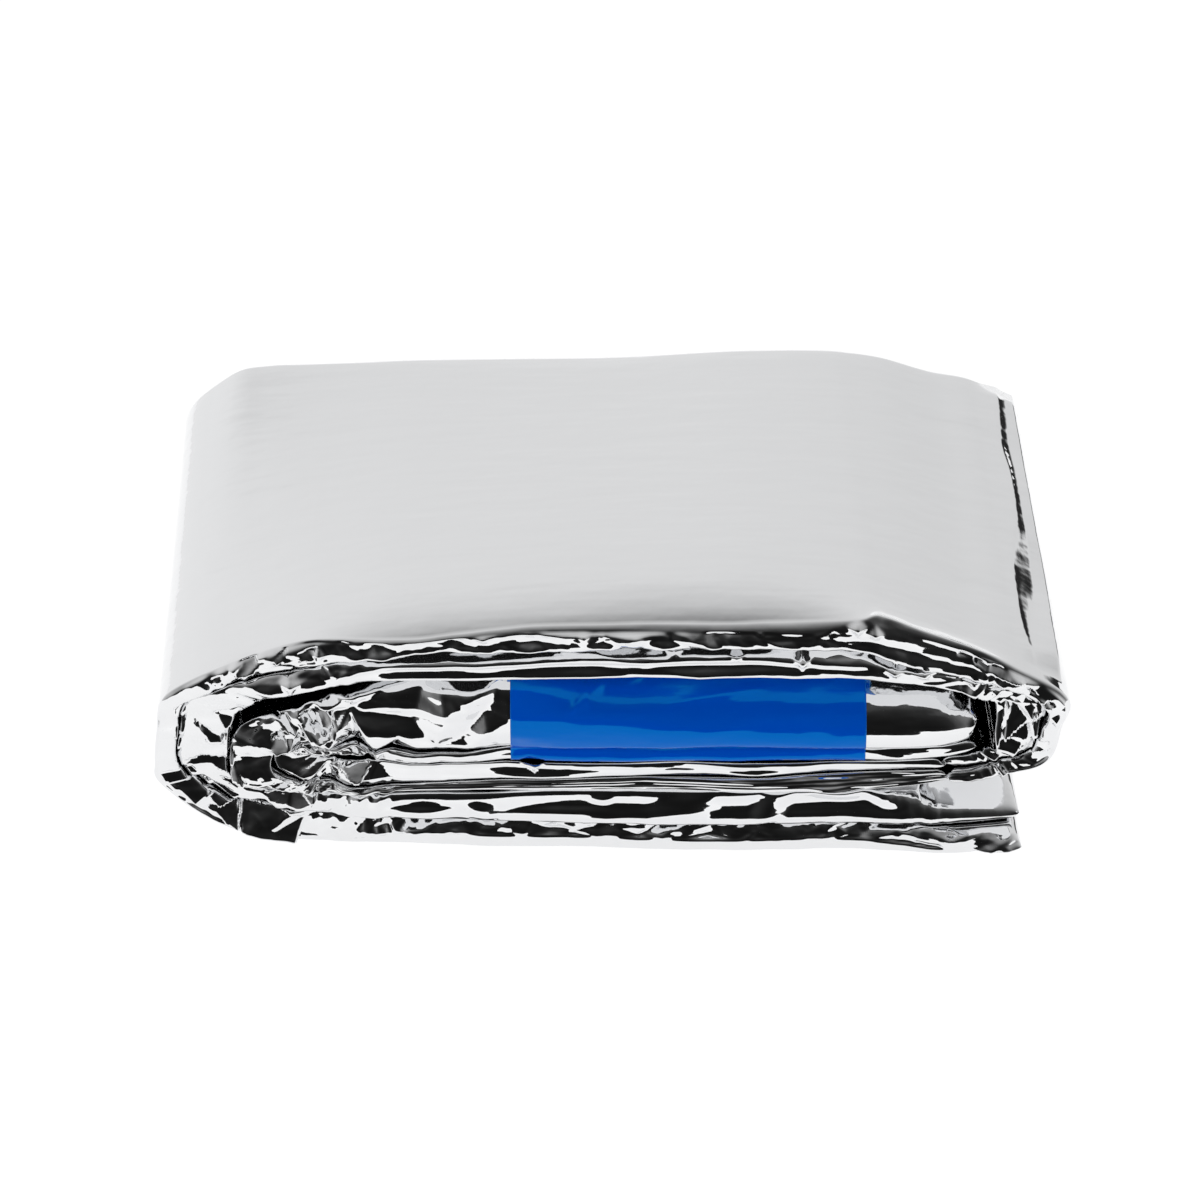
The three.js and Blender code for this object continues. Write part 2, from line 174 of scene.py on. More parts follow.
# How the film of each roll lies along a stretch. The first numbers are how far its nose is rounded back, how
# square the rounding is, how far its free face sags towards the front, below 0 for a raised lip, and above
# which share of its height it stays smooth. Then come the slopes of its long folds, broad facets and fine
# facets, and how far the facets are drawn out. The last ten are the tilts of its front in degrees, from its
# free face to the seam: 0 is upright and 90 faces the sky.
LOOKS = {
    "outer": {
        "bottom_end": (0.7, 2.5, 0, 0.5, 0.2, 0.30, 0.40, 1.5) + (60, 15, 5, 0, 10, 36, 20, 36, 30, 20),
        "bottom_east": (0.4, 2.5, 0, 0.1, 0.1, 0.16, 0.42, 1.5) + (60, 10, 2, 0, 12, 34, 38, 40, 34, 20),
        "bottom_west": (0.4, 2.5, 0, 0.1, 0.1, 0.16, 0.42, 1.5) + (60, 10, 2, 0, 12, 34, 38, 40, 34, 20),
        "left_turn": (0.5, 3.5, 0, 0.8, 0.05, 0.14, 0.08, 1.0) + (50, 25, 10, 5, 5, 5, 5, 5, 5, 5),
        "top_left": (0.5, 3.0, 0.3, 0.9, 0.06, 0.16, 0.22, 1.3) + (68, 62, 20, 5, 15, 34, 20, 30, 25, 10),
        "top_west": (0.4, 3.0, 2.2, 0.6, 0.06, 0.20, 0.30, 1.4) + (58, 50, 5, 0, 5, 12, 36, 38, 30, 10),
        "top_middle": (0.4, 3.0, 2.7, 0.4, 0.06, 0.16, 0.32, 1.4) + (56, 50, 44, 40, 36, 34, 30, 26, 14, 5),
        "top_east": (0.4, 3.0, 1.8, 0.2, 0.06, 0.14, 0.24, 1.5) + (60, 52, 44, 38, 34, 32, 32, 26, 12, 5),
        "top_step": (0.4, 3.0, 0.3, 0.9, 0.06, 0.20, 0.20, 1.4) + (50, 40, 34, 10, 34, 5, 34, 30, 20, 5),
        "top_right": (0.2, 3.0, -1.1, 0.6, 0.05, 0.14, 0.08, 1.6) + (46, 40, 36, 34, 32, 5, 34, 34, 20, 5),
        "right_turn": (0.8, 3.0, 0, 0.6, 0.05, 0.14, 0.06, 1.0) + (30, 30, 25, 25, 25, 25, 20, 20, 20, 10),
        "middle": (0.7, 2.5, 0, 2, 0.35, 0.05, 0.1, 3.0) + (10, 55, 0, 55, 5, 50, 0, 45, 0, 30),
        "inner_turn": (0.6, 2.5, 0, 2, 0.05, 0.2, 0.14, 1.0) + (30, 30, 25, 25, 25, 20, 20, 20, 15, 10),
        "inner_left": (2.0, 2.6, 0, 2, 0.1, 0.08, 0.08, 1.5) + (60, 45, 25, 12, 8, 5, 5, 5, 0, -5),
        "inner_west": (1.0, 2.5, 0, 2, 0.04, 0.04, 0.02, 2.5) + (76, 60, 58, 56, 48, 18, 10, 6, 2, -12),
        "inner_middle": (1.0, 2.5, 0, 2, 0.04, 0.04, 0.02, 2.5) + (76, 62, 55, 56, 50, 42, 30, 14, 6, -12),
        "inner_right": (0.9, 2.5, 0, 2, 0.05, 0.08, 0.04, 2.5) + (30, 40, 55, 57, 53, 46, 34, 16, 5, -12),
    },
    "inner": {
        "bottom_end": (0.6, 2.5, 0, 2, 0.05, 0.02, 0.0, 1.0) + (82, 79, 76, 70, 60, 46, 38, 30, 8, 0),
        "bottom_east": (0.9, 2.5, 0, 2, 0.1, 0.08, 0.03, 3.0) + (40, 10, 0, 5, 26, 38, 34, 8, -5, -8),
        "bottom_west": (0.9, 2.5, 0, 2, 0.1, 0.05, 0.02, 3.0) + (40, 10, 0, 0, 0, 5, 5, 0, -5, -8),
        "left_turn": (0.5, 3.5, 0, 2, 0.05, 0.10, 0.05, 1.0) + (40, 30, 20, 10, 5, 5, 5, 5, 5, 5),
        "top_left": (0.7, 3.0, 0, 2, 0.15, 0.20, 0.15, 1.5) + (0, 5, 5, 10, 20, 35, 35, 25, 30, 30),
        "top_west": (0.4, 3.0, 0, 2, 0.08, 0.10, 0.06, 2.5) + (0, 38, 40, 30, -45, 40, 62, 62, 45, 20),
        "top_middle": (0.4, 3.0, 0, 2, 0.05, 0.08, 0.06, 2.5) + (0, 38, 42, 30, -45, 40, 62, 62, 45, 20),
        "top_east": (0.4, 3.0, 0, 2, 0.08, 0.14, 0.08, 2.0) + (0, 10, 30, 36, -20, 38, 50, 45, 40, 20),
        "top_step": (0.4, 3.0, 0, 2, 0.08, 0.20, 0.10, 2.0) + (0, 10, 30, 36, -10, 36, 50, 45, 40, 20),
        "top_right": (0.7, 3.0, 0, 2, 0.1, 0.25, 0.15, 2.0) + (0, 20, 35, 35, 25, 30, 45, 55, 30, 30),
        "right_turn": (0.8, 3.5, 0, 2, 0.05, 0.14, 0.06, 1.0) + (30, 30, 25, 25, 25, 25, 20, 20, 20, 10),
        "middle": (0.5, 3.0, 0, 2, 0.15, 0.05, 0.05, 3.0) + (20, 5, 0, 0, 0, 0, 0, 0, 5, 10),
        "inner_turn": (0.9, 3.0, 0, 2, 0.05, 0.2, 0.1, 1.0) + (30, 25, 20, 20, 20, 15, 15, 15, 10, 10),
        "inner_left": (0.5, 3.0, 0, 2, 0.15, 0.1, 0.1, 2.0) + (0, 0, 5, 5, 10, 10, 15, 20, 25, 30),
        "inner_west": (0.5, 3.0, 0, 2, 0.1, 0.04, 0.03, 2.0) + (0, 5, 10, 25, 35, 38, 36, 36, 40, 45),
        "inner_middle": (0.5, 3.0, 0, 2, 0.1, 0.04, 0.03, 2.0) + (0, 5, 10, 25, 35, 38, 36, 36, 40, 45),
        "inner_right": (0.6, 3.0, 0, 2, 0.15, 0.2, 0.1, 2.0) + (0, 5, 10, 10, 15, 15, 20, 25, 30, 40),
    },
}
REACH, SQUARE, SAG, CALM, FOLDS, BROAD, FINE, DRAWN = range(9, 17)
TILTS = slice(17, 27)

# Creases placed in front of the inner turn: x, z and how far back each one lies.
CREASES = [
    (-53.0, 25.5, 0.0), (-46.0, 27.5, 0.0), (-36.0, 28.5, 0.0), (-24.0, 28.5, 0.0), (-14.5, 27.5, 0.0),
    (-54.0, 17.0, 0.0), (-54.5, 10.5, 0.0), (-48.0, 2.5, 0.0), (-38.0, 3.0, 0.0), (-28.0, 5.0, 0.0),
    (-14.0, 22.0, 0.0), (-14.0, 16.0, 0.0), (-15.5, 11.0, 0.0), (-22.0, 9.5, 0.0), (-30.0, 9.5, -0.2),
    (-40.5, 25.5, -0.4), (-37.0, 24.0, -0.9), (-31.5, 25.0, 0.8), (-26.5, 25.2, 1.0), (-20.0, 24.8, -1.2),
    (-40.0, 21.5, 0.6), (-36.5, 22.5, 0.8), (-32.0, 22.0, 0.9), (-27.5, 21.0, 0.6), (-23.0, 22.3, -1.2),
    (-40.5, 19.0, 0.2), (-29.5, 19.0, -0.7), (-39.5, 17.0, -1.9), (-33.0, 16.9, -2.1), (-27.0, 16.9, -1.7),
    (-24.5, 17.3, -1.2), (-20.5, 19.2, 0.3), (-19.8, 17.0, -1.1), (-17.5, 23.0, 0.6), (-17.0, 20.5, -0.8),
    (-44.0, 23.5, 0.5), (-46.5, 20.5, -0.6), (-48.0, 22.0, 0.6), (-50.5, 17.5, 0.5), (-45.0, 16.5, -1.3),
    (-43.5, 19.5, 0.9), (-47.5, 15.5, 0.6), (-51.0, 14.0, -0.6), (-43.5, 15.0, 0.6), (-47.5, 12.5, -0.9),
    (-40.5, 14.5, 0.5), (-35.5, 15.6, 0.9), (-36.5, 11.5, -1.3), (-32.5, 14.3, -0.2), (-34.0, 11.7, -1.0),
    (-43.0, 11.0, -0.8), (-50.5, 10.5, -0.8), (-45.0, 8.5, 0.8), (-41.5, 7.5, -0.8), (-38.5, 9.0, 0.5),
    (-46.0, 4.5, -1.0), (-41.0, 5.0, 0.3), (-35.0, 7.0, -0.5),
]

# Small peaks pinched into the front: x, z, half width, half height and how far each stands out.
PEAKS = [
    (-44.5, 29.2, 1.7, 1.8, 1.3), (-52.5, 31.0, 1.6, 1.2, 0.9), (-49.0, 32.4, 1.4, 1.0, 0.8),
    (-40.5, 33.0, 1.3, 1.3, 0.9), (-17.5, 36.6, 2.2, 1.4, 0.9), (-3.5, 37.0, 1.2, 1.6, 1.0),
    (-1.0, 37.2, 1.0, 1.2, 0.9), (12.0, 38.2, 1.0, 0.9, 0.7), (15.2, 38.4, 0.9, 1.0, 0.7),
    (18.5, 38.3, 1.8, 1.2, 0.9), (21.0, 37.4, 1.6, 1.3, 0.9), (9.0, 33.4, 1.6, 1.0, 0.9),
    (17.8, 32.8, 1.2, 0.8, 0.7), (26.9, 32.6, 1.3, 1.9, 1.4), (34.5, 37.6, 1.6, 1.4, 1.2),
    (37.0, 36.9, 1.4, 1.1, 1.0), (39.8, 31.8, 1.6, 1.8, 1.2), (44.0, 31.2, 1.9, 1.4, 1.0),
    (51.0, 28.9, 1.5, 1.2, 0.9), (-10.5, 14.2, 1.8, 0.7, 0.9),
]

# Soft swells of the front: x, z, half width, half height, how far each stands out and its slant.
SWELLS = [
    (-26.5, 6.0, 6.2, 2.1, 0.9, 0.0), (-18.0, 6.5, 3.1, 1.7, 0.7, -0.12), (10.5, 7.0, 5.9, 2.1, 0.85, 0.06),
    (23.0, 7.0, 3.7, 2.8, 1.1, 0.37), (32.5, 9.5, 5.1, 2.3, 0.9, -0.12), (39.5, 8.0, 3.7, 2.1, 0.9, -0.19),
    (-39.0, 8.0, 3.1, 2.4, 0.9, 0.99), (-35.5, 8.5, 2.8, 2.1, 0.7, 0.99),
    (-32.0, 9.0, 2.3, 2.1, 0.6, 0.99), (-7.0, 6.5, 8.5, 0.9, 0.25, 0.0), (-1.0, 8.0, 2.0, 0.9, 0.35, 0.0),
    (13.0, 10.0, 8.5, 0.7, 0.3, -0.06), (-10.0, 12.0, 8.5, 0.7, 0.3, 0.0), (21.5, 12.5, 5.6, 0.9, 0.35, 0.0),
    (40.0, 2.5, 3.5, 0.9, 0.3, 0.0), (-3.0, 25.5, 1.0, 2.3, 0.65, 0.0), (-1.0, 26.0, 1.3, 1.0, 0.5, 0.62),
    (4.5, 26.5, 2.8, 0.7, 0.3, 0.31), (-4.5, 24.0, 1.4, 0.7, 0.35, 0.62), (15.5, 24.5, 8.5, 0.5, 0.2, 0.1),
]

# Flat facets of the front that face the dark sky, by their corners' x and z.
FACET_SLOPE = 0.68
FACETS = [
    ((-61.0, 24.0), (-59.0, 25.5), (-59.5, 22.5), (-61.0, 22.5)),
    ((-60.5, 22.0), (-59.5, 22.0), (-60.0, 19.0), (-61.0, 19.0)),
    ((-61.0, 19.0), (-60.0, 19.0), (-60.5, 16.5), (-61.0, 16.5)),
    ((-61.0, 16.5), (-60.5, 16.5), (-61.0, 14.0), (-61.0, 14.0)),
    ((-60.5, 13.5), (-57.5, 15.0), (-54.5, 14.5), (-52.5, 13.0), (-51.5, 11.5), (-54.0, 12.0), (-57.0, 13.5)),
    ((-63.8, 12.4), (-59.4, 13.2), (-57.6, 11.6), (-62.6, 10.8)),
    ((-62.4, 10.6), (-57.4, 11.2), (-56.2, 8.6), (-58.6, 7.4)),
    ((-56.4, 10.4), (-52.6, 7.6), (-55.4, 6.6), (-57.0, 8.2)),
    ((-55.2, 6.4), (-52.8, 7.2), (-52.6, 3.0), (-54.6, 3.8), (-57.2, 6.4)),
    ((-52.4, 7.0), (-49.0, 7.5), (-46.5, 5.5), (-43.5, 4.0), (-44.5, 0.8), (-49.5, 1.4), (-52.4, 2.6)),
    ((-51.5, 11.0), (-41.0, 11.0), (-42.0, 7.0), (-44.5, 9.0), (-48.5, 8.5)),
    ((-40.5, 15.5), (-39.0, 16.0), (-33.0, 16.5), (-33.0, 14.5), (-35.0, 12.0), (-36.5, 12.0)),
    ((-13.0, 14.5), (-11.5, 15.5), (-9.0, 15.0), (-10.5, 13.0)),
    ((-55.5, 23.0), (-51.5, 24.0), (-52.0, 21.5), (-54.0, 20.0), (-55.0, 22.0)),
    ((-58.5, 21.5), (-54.5, 18.5), (-54.5, 17.5), (-56.5, 17.5), (-57.0, 19.5)),
    ((-54.5, 19.0), (-53.5, 18.5), (-53.0, 14.5), (-54.0, 14.5)),
    ((-53.0, 22.0), (-50.0, 23.0), (-50.5, 20.0), (-51.5, 20.5)),
    ((-47.5, 18.0), (-46.0, 19.0), (-45.0, 16.0), (-46.5, 15.0), (-47.5, 16.0)),
    ((-44.5, 16.0), (-42.0, 17.0), (-39.5, 16.5), (-42.0, 15.5), (-44.0, 14.5)),
    ((-47.5, 21.0), (-45.5, 21.0), (-44.0, 18.5), (-45.5, 19.0)),
    ((-43.5, 21.5), (-39.0, 22.0), (-38.5, 18.5), (-42.0, 17.5), (-43.0, 19.0)),
    ((-55.5, 29.0), (-54.0, 30.0), (-54.5, 28.5), (-55.0, 28.5)),
    ((-53.5, 31.0), (-49.0, 32.5), (-49.5, 30.0), (-52.0, 29.5)),
    ((-46.5, 32.5), (-45.0, 33.5), (-45.5, 32.0), (-46.5, 31.5)),
    ((-43.5, 33.0), (-40.5, 34.0), (-41.5, 32.0), (-43.0, 32.0)),
    ((-55.0, 11.0), (-51.5, 10.0), (-52.5, 9.0), (-54.5, 10.0)),
    ((53.7, 25.0), (56.2, 25.5), (55.0, 18.4), (53.8, 16.0)),
    ((56.5, 25.3), (59.0, 21.8), (55.4, 18.6)),
    ((56.7, 25.6), (60.2, 26.0), (59.4, 22.2)),
    ((54.2, 15.8), (55.3, 18.1), (59.1, 21.3), (59.3, 17.8), (57.0, 15.6)),
    ((60.4, 26.0), (62.4, 25.7), (59.8, 22.2)),
    ((59.5, 21.4), (61.4, 22.2), (61.0, 19.4), (59.7, 18.5)),
    ((59.6, 18.0), (61.8, 18.4), (62.0, 16.6), (59.6, 16.0)),
    ((61.8, 23.5), (63.2, 23.9), (62.6, 21.6)),
    ((58.0, 29.0), (59.5, 27.5), (62.0, 25.0), (61.0, 25.0), (59.0, 27.5)),
    ((53.0, 28.0), (55.5, 28.0), (54.5, 26.5), (53.5, 27.5)),
    ((57.5, 30.5), (58.5, 31.0), (58.5, 29.5), (58.0, 29.5)),
    ((51.0, 33.0), (57.0, 30.5), (58.0, 29.5), (54.5, 30.0), (51.0, 32.0)),
    ((51.0, 34.5), (56.0, 31.5), (52.5, 32.0), (48.5, 33.5)),
]

SAMPLES_PER_ROW = 24
STEEPEST = 86


def smooth_table(rows):
    """The rows' curve with many samples between them."""
    padded = np.vstack([rows[:1], rows, rows[-1:]])
    share = np.arange(SAMPLES_PER_ROW)[:, None] / SAMPLES_PER_ROW
    pieces = []
    for a, b, c, d in zip(padded, padded[1:], padded[2:], padded[3:]):
        slope, bend, twist = c - a, 2 * a - 5 * b + 4 * c - d, 3 * b - a - 3 * c + d
        pieces.append(0.5 * (2 * b + slope * share + bend * share**2 + twist * share**3))
    return np.vstack(pieces + [rows[-1:]])


def even_path(names, roll, line, step):
    """Sections of the named stretches with a roll's looks, evenly spaced along one of the pack's lines."""
    order = list(SECTIONS)
    table = smooth_table(np.array([row + LOOKS[roll][name] for name in order for row in SECTIONS[name]]))
    first = sum(len(SECTIONS[n]) for n in order[: order.index(names[0])]) * SAMPLES_PER_ROW
    last = sum(len(SECTIONS[n]) for n in order[: order.index(names[-1]) + 1]) * SAMPLES_PER_ROW
    table = table[first : min(last + 1, len(table))]
    steps = np.linalg.norm(np.diff(table[:, line], axis=0), axis=1)
    along = np.concatenate([[0], np.cumsum(steps)])
    even = np.linspace(0, along[-1], int(along[-1] / step))
    even_rows = np.stack([np.interp(even, along, column) for column in table.T], axis=1)
    even_rows[:, TILTS] = np.clip(even_rows[:, TILTS], -STEEPEST, STEEPEST)
    return even, even_rows


# How far the front edge of the right shoulder hangs, by x. It fades towards the back and sets in by height.
DROP = smooth_table(np.array([
    (22.0, 0.0), (35.0, 0.1), (39.0, 0.8), (43.0, 1.3), (48.0, 1.3), (53.0, 1.0), (58.0, 1.0), (63.0, 0.0),
]))
DROP_REACH = 22.0
DROP_FROM = 25.0
DROP_OVER = 8.0

# How far the back edge of the top is raised, by x. It fades towards the front and sets in by height.
LIFT = smooth_table(np.array([
    (-64.0, 2.2), (-59.5, 2.6), (-54.5, 3.3), (-50.0, 2.6), (-42.0, 1.5), (-30.0, 0.8), (0.0, 0.4),
    (25.0, 0.9), (40.0, 1.2), (52.0, 0.9), (60.0, 0.3), (64.0, 0.0),
]))
LIFT_FROM = 12.0
LIFT_OVER = 18.0
LIFT_POWER = 3


def settle(points):
    """Lowers, narrows and shifts the bundle towards the back, and sets its right shoulder and top edge."""
    x, y, z = points[..., 0], points[..., 1], points[..., 2]
    lower = np.interp(x, DROP[:, 0], DROP[:, 1]) * np.exp(-np.maximum(0, y - FRONT_Y) / DROP_REACH)
    z = z - lower * np.clip((z - DROP_FROM) / DROP_OVER, 0, 1)
    across = np.maximum(0, 1 - (x / TAPER_HALF_LENGTH) ** 2)
    back = (y - FRONT_Y) / FOLDED_DEPTH
    lift = np.interp(x, LIFT[:, 0], LIFT[:, 1]) * np.clip(back, 0, 1) ** LIFT_POWER
    lift *= np.clip((z - LIFT_FROM) / LIFT_OVER, 0, 1)
    x = x * (1 - BACK_NARROWING * back) + BACK_SHIFT * back
    z = np.maximum(0, z * (1 - BACK_TAPER * across * back) + lift)
    return np.stack([x, y, z], axis=-1)


# Crumpled film. A row of cells is their length, their height and their share of the relief.
SITES = 64
CELL_STEEPNESS = 1.3
FOLD_CELLS = [(34, 1.9, 1.0), (17, 0.9, 0.6)]
BROAD_CELLS = [(6.5, 3.6, 1.0), (3.4, 2.2, 0.6)]
FINE_CELLS = [(2.2, 1.6, 0.8), (1.2, 0.9, 0.4)]
BROAD_SEED = 1
SAME_PLACE = 1e-6
ON_THE_EDGE = 1e-9


def kinked(at, random):
    """A random line of straight runs between -0.5 and 0.5, with a knot at every whole number."""
    knots = random.uniform(-0.5, 0.5, SITES)
    low = np.floor(at).astype(int)
    return knots[low % SITES] + (knots[(low + 1) % SITES] - knots[low % SITES]) * (at - low)


def facets(u, v, length, height, seed):
    """A relief of flat triangles with sharp creases between them, in cells of length by height."""
    random = np.random.default_rng(seed)
    knots = random.uniform(-1, 1, (SITES, SITES))
    mirrored = random.random((SITES, SITES)) < 0.5
    first = u / length + SITES * random.random()
    second = v / height + SITES * random.random()
    first, second = first + kinked(second, random), second + kinked(first, random)
    i, j = np.floor(first).astype(int), np.floor(second).astype(int)
    s, t = first - i, second - j
    i, j = i % SITES, j % SITES
    right = (i + 1) % SITES
    flip = mirrored[i, j]
    s = np.where(flip, 1 - s, s)
    near, far = np.where(flip, right, i), np.where(flip, i, right)
    above = (j + 1) % SITES
    low_side = knots[near, j] + s * (knots[far, j] - knots[near, j]) + t * (knots[far, above] - knots[far, j])
    high_side = knots[near, j] + t * (knots[near, above] - knots[near, j])
    high_side += s * (knots[far, above] - knots[near, above])
    return np.where(s >= t, low_side, high_side) * height * CELL_STEEPNESS


def relief(u, v, cells, seed):
    """Flat triangles of several sizes, one over the other."""
    total = np.zeros(u.shape)
    for k, (length, height, share) in enumerate(cells):
        total += share * facets(u, v, length, height, seed + k)
    return total


def wander(s, wavelength, seed):
    """A smooth random line between -1 and 1."""
    random = np.random.default_rng(seed)
    knots = random.uniform(-1, 1, SITES)
    at = s / wavelength
    low = np.floor(at).astype(int)
    share = at - low
    share = share * share * (3 - 2 * share)
    return knots[low % SITES] * (1 - share) + knots[(low + 1) % SITES] * share


def creased(x, z, creases):
    """Depth of a front of flat facets between the given creases, and 0 outside them."""
    corners = np.array(creases)
    flat = [Vector(corner[:2]) for corner in corners]
    _, _, triangles, originals, _, _ = delaunay_2d_cdt(flat, [], [], 0, SAME_PLACE)
    depth = np.zeros(x.shape)
    for triangle in triangles:
        (ax, az, ad), (bx, bz, bd), (cx, cz, cd) = (corners[originals[k][0]] for k in triangle)
        area = (bx - ax) * (cz - az) - (cx - ax) * (bz - az)
        b = ((x - ax) * (cz - az) - (cx - ax) * (z - az)) / area
        c = ((bx - ax) * (z - az) - (x - ax) * (bz - az)) / area
        inside = (b >= -ON_THE_EDGE) & (c >= -ON_THE_EDGE) & (b + c <= 1 + ON_THE_EDGE)
        depth[inside] = (ad + b * (bd - ad) + c * (cd - ad))[inside]
    return depth


def pinched(x, z):
    """Depth of the small four-sided peaks, negative towards the front."""
    depth = np.zeros(x.shape)
    for peak_x, peak_z, half_width, half_height, out in PEAKS:
        slope = np.abs(x - peak_x) / half_width + np.abs(z - peak_z) / half_height
        depth -= out * np.maximum(0, 1 - slope)
    return depth


def swollen(x, z):
    """Depth of the soft swells, negative towards the front."""
    depth = np.zeros(x.shape)
    for swell_x, swell_z, half_width, half_height, out, slant in SWELLS:
        across = (x - swell_x) / half_width
        up = (z - swell_z - slant * (x - swell_x)) / half_height
        depth -= out * np.maximum(0, 1 - across**2 - up**2) ** 2
    return depth


def faceted(x, z):
    """Depth of the flat facets, leaning back from the middle of each."""
    depth = np.zeros(x.shape)
    for corners in FACETS:
        inside = np.zeros(x.shape, dtype=bool)
        for (ax, az), (bx, bz) in zip(corners, corners[1:] + corners[:1]):
            if az != bz:
                inside ^= ((az > z) != (bz > z)) & (x < ax + (z - az) * (bx - ax) / (bz - az))
        middle = sum(corner[1] for corner in corners) / len(corners)
        depth += np.where(inside, FACET_SLOPE * (z - middle), 0)
    return depth


# The crease down the right shoulder: y, x, and the widths of its steep lip and of the slope beside it.
CREASE = np.array([
    (-32.0, 59.9, 0.1, 0.1), (-28.0, 59.1, 0.5, 0.2), (-23.0, 58.7, 0.5, 0.7), (-18.0, 58.8, 0.4, 2.0),
    (-13.0, 58.9, 0.5, 2.5), (-8.5, 59.2, 0.9, 1.8), (-4.0, 60.2, 0.7, 1.1), (1.0, 60.9, 0.4, 0.7),
    (6.0, 61.0, 0.4, 0.6), (10.5, 61.1, 0.4, 0.4), (15.0, 60.9, 0.7, 0.4), (20.0, 60.2, 0.9, 0.6),
    (25.0, 60.7, 0.6, 0.6), (30.0, 61.0, 0.5, 0.6), (38.0, 61.2, 0.4, 0.5),
])

# Where the shoulder starts and ends, x and z of each, and how softly it sets in from its start and from the
# front.
SHOULDER = (57.0, 30.9, 64.4, 25.6)
SHOULDER_SOFT_X = 0.6
SHOULDER_FRONT_Y = -34.0
SHOULDER_SOFT_Y = 3.0

# The slopes before the crease, down its lip and beside it, and at the shoulder's outer edge.
CREASE_SLOPES = (0.36, 0.93, 0.75)
EDGE_SLOPE = 3.2


def shouldered(points, far):
    """Turns the free face down over the right shoulder along the crease."""
    x, y, z = (points[:, far, k] for k in range(3))
    start_x, start_z, end_x, end_z = SHOULDER
    line, lip, slope = (np.interp(y, CREASE[:, 0], CREASE[:, k]) for k in (1, 2, 3))
    before, steep, beside = CREASE_SLOPES
    lip_z = start_z - before * (line - start_x)
    slope_z = lip_z - steep * lip
    last_x, last_z = line + lip + slope, slope_z - beside * slope
    level = np.where(x < line, start_z - before * (x - start_x), lip_z - steep * (x - line))
    level = np.where(x > line + lip, slope_z - beside * (x - line - lip), level)
    rest = last_z + (end_z - last_z) * (x - last_x) / (end_x - last_x)
    rest = np.maximum(rest, np.minimum(last_z - before * (x - last_x), end_z + EDGE_SLOPE * (end_x - x)))
    level = np.where(x > last_x, rest, level)
    share = np.clip((y - SHOULDER_FRONT_Y) / SHOULDER_SOFT_Y, 0, 1)
    share = share * np.clip((x - start_x) / SHOULDER_SOFT_X, 0, 1) * (z > end_z)
    points[:, far, 2] = z + (level - z) * share
    return points


# Rolls. Their film runs back from the front in steps that grow, given by the first one, the growth and the
# longest one.
BACK_POINTS = 8
BACK_ROUNDING = 1.6
SAG_REACH = 4.4
LIP_REACH = 1.8
DENSE = 160
SEAM_GAP = 0.1
FACE_INSET = 0.04
RUN = 70
FACE_LONGEST = 3.0
SEAM_STEPS = (0.5, 1.6, 12.0)

# How the crumples fade behind the front and towards the smooth share of its height, and how the ends of a
# roll are rounded shut.
FADE_REACH = 1.2
CALM_SOFT = 0.2
END_LENGTH = 1.6
END_HEIGHT = 0.06

# How a roll's nose wanders in and out: by how much, over which length, and what its seed adds to the roll's.
WANDERS = [(0.3, 13, 0), (0.1, 4, 5)]


def graded(total, first, growth, longest):
    """Distances from 0 to 1 whose steps grow by a factor up to the longest, for a run of that length."""
    steps = [first]
    while sum(steps) < total:
        steps.append(min(steps[-1] * growth, longest))
    marks = np.concatenate([[0], np.cumsum(steps)])
    return marks / marks[-1]


def nose(low, high, row, upward, count):
    """Levels and depths of a roll's front from its free face to the seam, evenly spaced along it."""
    t = np.cos(np.linspace(0, math.pi, DENSE))
    level = (high + low) / 2 + (high - low) / 2 * t
    depth = row[REACH] * (1 - (1 - np.abs(t) ** row[SQUARE]) ** (1 / row[SQUARE]))
    tilts = row[TILTS]
    slope = np.tan(np.radians(np.interp((1 - t) / 2, np.linspace(0, 1, len(tilts)), tilts))) * upward
    depth[1:] += np.cumsum((slope[1:] + slope[:-1]) / 2 * np.diff(level))
    along = np.concatenate([[0], np.cumsum(np.hypot(np.diff(level), np.diff(depth)))])
    even = np.linspace(0, along[-1], count)
    depth = np.interp(even, along, depth - depth.min())
    return np.interp(even, along, level), depth, np.interp(even, along, t)


